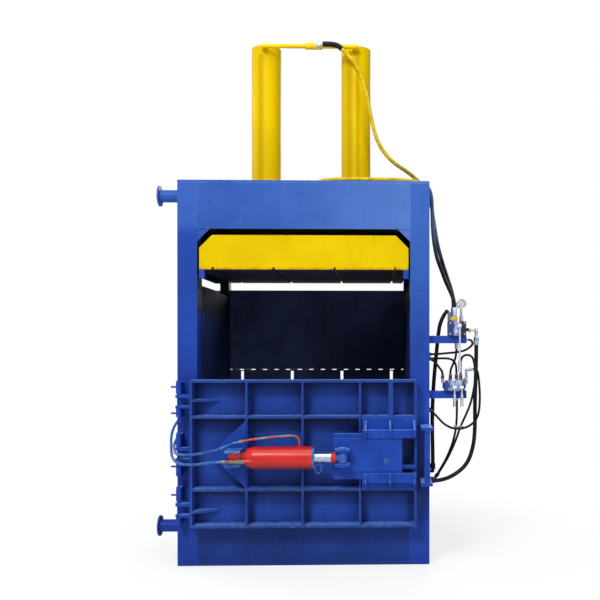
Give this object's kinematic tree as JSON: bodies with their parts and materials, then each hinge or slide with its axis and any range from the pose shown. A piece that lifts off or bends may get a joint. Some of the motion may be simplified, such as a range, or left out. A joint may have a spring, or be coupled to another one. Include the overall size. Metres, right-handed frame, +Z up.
{
  "type": "vertical recycling baler",
  "caption": "Tall vertical baler: framed body with a ribbed hinged front door, a hydraulic sliding door latch, a pressing platen under twin cylinders, side valves and hoses.",
  "frame": {"origin": "on the floor under the middle of the body, at the underside of the base", "axes": "+Z up, the door towards -Y, +X on the right of someone who faces the door"},
  "size_m": [1.6802, 1.516, 2.838],
  "materials": {
    "beam_blue": "worn gloss",
    "column_blue": "worn gloss",
    "door_blue": "worn gloss",
    "plate_blue": "worn gloss",
    "inside_blue": "scuffed matt",
    "cylinder_yellow": "gloss",
    "platen_yellow": "worn gloss",
    "latch_red": "gloss",
    "polished_rod": "polished",
    "bright_steel": "satin",
    "plain_steel": "satin",
    "black_hose": "matt",
    "blue_hose": "matt",
    "needle_black": "matt",
    "unit_grey": "satin"
  },
  "bodies": {
    "frame": {"base_box": "door_blue", "chamber_floor": "plain_steel", "frame_posts": "column_blue", "side_walls": "inside_blue", "back_wall": "inside_blue", "top_beams": "beam_blue", "cross_beams": "inside_blue", "top_deck": "beam_blue", "bollards": "column_blue", "hinge_knuckles": "column_blue", "hinge_pins": "column_blue", "latch_keeper": "plate_blue", "main_barrels": "cylinder_yellow", "main_glands": "plain_steel", "main_heads": "cylinder_yellow", "oil_pipes": "cylinder_yellow", "valve_brackets": "column_blue", "relief_valve": "bright_steel", "spool_valve": "bright_steel", "gauge_case": "bright_steel", "hose_fittings": "bright_steel", "power_skid": "column_blue", "oil_tank": "column_blue", "pump_set": "unit_grey", "hose_top_feed": "black_hose", "hose_rod_feed": "black_hose", "hose_drop_left": "black_hose", "hose_drop_right": "black_hose", "hose_valve_link": "black_hose", "hose_bracket_loop": "black_hose", "hose_upper_run": "black_hose", "hose_left_port": "black_hose", "hose_arc": "black_hose", "hose_wall_loop": "black_hose", "hose_down": "black_hose", "hose_latch_upper": "blue_hose", "hose_latch_lower": "blue_hose"},
    "door": {"door_skin": "door_blue", "door_cross_ribs": "column_blue", "door_stiles": "column_blue", "door_lugs": "column_blue", "mount_plate": "plate_blue", "latch_guides": "column_blue", "latch_bracket": "column_blue", "latch_barrel": "latch_red", "latch_gland": "column_blue", "latch_plumbing": "bright_steel"},
    "slide": {"slide_plate": "plate_blue", "latch_rod": "polished_rod", "rod_eye": "latch_red"},
    "ram": {"main_rods": "polished_rod", "platen_front": "platen_yellow", "platen_box": "platen_yellow", "platen_face": "inside_blue", "platen_shoes": "plate_blue"},
    "relief_lever": {"relief_lever": "bright_steel"},
    "left_lever": {"left_lever": "bright_steel"},
    "right_lever": {"right_lever": "bright_steel"},
    "gauge_needle": {"gauge_needle": "needle_black"},
    "motor_rotor": {"motor_rotor": "plain_steel"}
  },
  "joints": [
    {"name": "ram_slide", "type": "slide", "parent": "frame", "child": "ram", "axis": [0, 0, -1], "range_m": [0, 0.9]},
    {"name": "door_hinge", "type": "hinge", "parent": "frame", "child": "door", "pos_m": [-0.6275, -0.54, 0.59], "axis": [0, 0, -1], "range_deg": [0, 110], "deforming": ["hose_latch_upper", "hose_latch_lower"]},
    {"name": "latch_slide", "type": "slide", "parent": "door", "child": "slide", "axis": [1, 0, 0], "range_m": [-0.045, 0.145]},
    {"name": "relief_lever_hinge", "type": "hinge", "parent": "frame", "child": "relief_lever", "pos_m": [0.808, -0.47, 1.238], "axis": [-1, 0, 0], "range_deg": [0, 25], "stiffness_Nm_per_rad": 2},
    {"name": "left_lever_hinge", "type": "hinge", "parent": "frame", "child": "left_lever", "pos_m": [0.781, -0.47, 0.918], "axis": [-1, 0, 0], "range_deg": [-12, 20], "stiffness_Nm_per_rad": 1},
    {"name": "right_lever_hinge", "type": "hinge", "parent": "frame", "child": "right_lever", "pos_m": [0.819, -0.47, 0.918], "axis": [-1, 0, 0], "range_deg": [-12, 20], "stiffness_Nm_per_rad": 1},
    {"name": "gauge_needle_hinge", "type": "hinge", "parent": "frame", "child": "gauge_needle", "pos_m": [0.823, -0.405, 1.356], "axis": [0, 1, 0], "range_deg": [0, 270], "stiffness_Nm_per_rad": 0.005},
    {"name": "motor_shaft", "type": "hinge", "parent": "frame", "child": "motor_rotor", "pos_m": [0.455, 0.67, 0.6], "axis": [1, 0, 0], "continuous": true}
  ]
}
